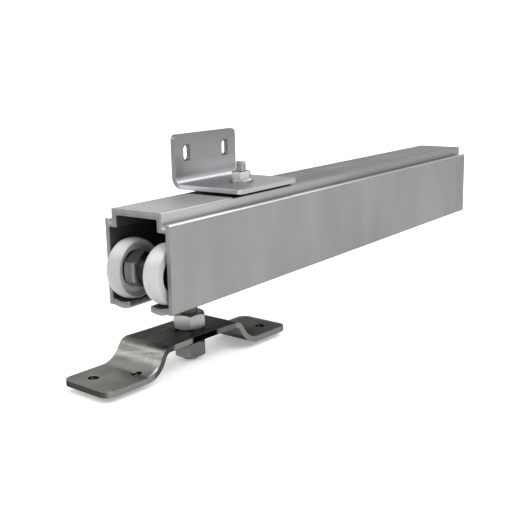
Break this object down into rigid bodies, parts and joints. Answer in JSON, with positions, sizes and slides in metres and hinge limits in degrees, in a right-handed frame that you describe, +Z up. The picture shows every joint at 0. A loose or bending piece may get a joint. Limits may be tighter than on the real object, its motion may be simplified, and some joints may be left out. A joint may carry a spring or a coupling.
{
  "type": "sliding door track hardware",
  "caption": "Hanging track for a sliding barn door: a slotted box rail with a wall bracket, and a wheeled carriage whose bolt carries a stepped door plate.",
  "frame": {"origin": "centre of the wall bracket's back face, midway between its two slots", "axes": "+X along the track away from the end with the carriage, +Y into the wall, +Z up"},
  "size_m": [0.3875, 0.049, 0.1171],
  "materials": {
    "track_aluminium": "extruded, matt",
    "bracket_steel": "zinc plated, satin",
    "small_fastener_steel": "zinc plated",
    "carriage_steel": "zinc plated, dull",
    "axle_steel": "ground",
    "fastener_steel": "zinc plated",
    "spring_steel": "dark oiled",
    "tyre_nylon": "moulded white nylon",
    "bearing_steel": "ground and polished",
    "shield_steel": "pressed sheet",
    "bolt_steel": "zinc plated",
    "plate_steel": "zinc plated, satin"
  },
  "bodies": {
    "rail": {"track_rail": "track_aluminium", "wall_bracket": "bracket_steel", "bracket_bolt": "small_fastener_steel", "bracket_nut": "small_fastener_steel"},
    "carriage": {"carriage_body": "carriage_steel", "lead_axle": "axle_steel", "trail_axle": "axle_steel", "axle_nuts": "fastener_steel", "axle_spacers": "fastener_steel", "axle_clips": "spring_steel", "bearing_inner_ring_lead_wall": "bearing_steel", "bearing_inner_ring_lead_room": "bearing_steel", "bearing_inner_ring_trail_wall": "bearing_steel", "bearing_inner_ring_trail_room": "bearing_steel"},
    "wheel_lead_wall": {"tyre_lead_wall": "tyre_nylon", "bearing_outer_ring_lead_wall": "bearing_steel", "bearing_shields_lead_wall": "shield_steel"},
    "wheel_lead_room": {"tyre_lead_room": "tyre_nylon", "bearing_outer_ring_lead_room": "bearing_steel", "bearing_shields_lead_room": "shield_steel"},
    "wheel_trail_wall": {"tyre_trail_wall": "tyre_nylon", "bearing_outer_ring_trail_wall": "bearing_steel", "bearing_shields_trail_wall": "shield_steel"},
    "wheel_trail_room": {"tyre_trail_room": "tyre_nylon", "bearing_outer_ring_trail_room": "bearing_steel", "bearing_shields_trail_room": "shield_steel"},
    "ball_set_lead_wall": {"bearing_balls_lead_wall": "bearing_steel"},
    "ball_set_lead_room": {"bearing_balls_lead_room": "bearing_steel"},
    "ball_set_trail_wall": {"bearing_balls_trail_wall": "bearing_steel"},
    "ball_set_trail_room": {"bearing_balls_trail_room": "bearing_steel"},
    "hanger": {"hanger_bolt": "bolt_steel", "thrust_washer": "fastener_steel", "upper_nut": "fastener_steel", "door_plate": "plate_steel", "plain_washer": "fastener_steel", "spring_washer": "spring_steel", "lower_nut": "fastener_steel"}
  },
  "joints": [
    {"name": "carriage_travel", "type": "slide", "parent": "rail", "child": "carriage", "axis": [1, 0, 0], "range_m": [0, 0.277]},
    {"name": "wheel_spin_lead_wall", "type": "hinge", "parent": "carriage", "child": "wheel_lead_wall", "pos_m": [-0.0769, -0.0275, -0.0526], "axis": [0, 1, 0], "continuous": true},
    {"name": "wheel_spin_lead_room", "type": "hinge", "parent": "carriage", "child": "wheel_lead_room", "pos_m": [-0.0769, -0.0275, -0.0526], "axis": [0, 1, 0], "continuous": true},
    {"name": "wheel_spin_trail_wall", "type": "hinge", "parent": "carriage", "child": "wheel_trail_wall", "pos_m": [-0.0221, -0.0275, -0.0526], "axis": [0, 1, 0], "continuous": true},
    {"name": "wheel_spin_trail_room", "type": "hinge", "parent": "carriage", "child": "wheel_trail_room", "pos_m": [-0.0221, -0.0275, -0.0526], "axis": [0, 1, 0], "continuous": true},
    {"name": "ball_orbit_lead_wall", "type": "hinge", "parent": "carriage", "child": "ball_set_lead_wall", "pos_m": [-0.0769, -0.0275, -0.0526], "axis": [0, 1, 0], "continuous": true},
    {"name": "ball_orbit_lead_room", "type": "hinge", "parent": "carriage", "child": "ball_set_lead_room", "pos_m": [-0.0769, -0.0275, -0.0526], "axis": [0, 1, 0], "continuous": true},
    {"name": "ball_orbit_trail_wall", "type": "hinge", "parent": "carriage", "child": "ball_set_trail_wall", "pos_m": [-0.0221, -0.0275, -0.0526], "axis": [0, 1, 0], "continuous": true},
    {"name": "ball_orbit_trail_room", "type": "hinge", "parent": "carriage", "child": "ball_set_trail_room", "pos_m": [-0.0221, -0.0275, -0.0526], "axis": [0, 1, 0], "continuous": true},
    {"name": "hanger_swivel", "type": "hinge", "parent": "carriage", "child": "hanger", "pos_m": [-0.0495, -0.0275, -0.0719], "axis": [0, 0, 1], "continuous": true}
  ],
  "couplings": [
    {"joint": "wheel_spin_lead_wall", "follows": "carriage_travel", "rad_per_m": 62.893},
    {"joint": "wheel_spin_lead_room", "follows": "carriage_travel", "rad_per_m": 62.893},
    {"joint": "wheel_spin_trail_wall", "follows": "carriage_travel", "rad_per_m": 62.893},
    {"joint": "wheel_spin_trail_room", "follows": "carriage_travel", "rad_per_m": 62.893},
    {"joint": "ball_orbit_lead_wall", "follows": "carriage_travel", "rad_per_m": 36.651},
    {"joint": "ball_orbit_lead_room", "follows": "carriage_travel", "rad_per_m": 36.651},
    {"joint": "ball_orbit_trail_wall", "follows": "carriage_travel", "rad_per_m": 36.651},
    {"joint": "ball_orbit_trail_room", "follows": "carriage_travel", "rad_per_m": 36.651}
  ]
}
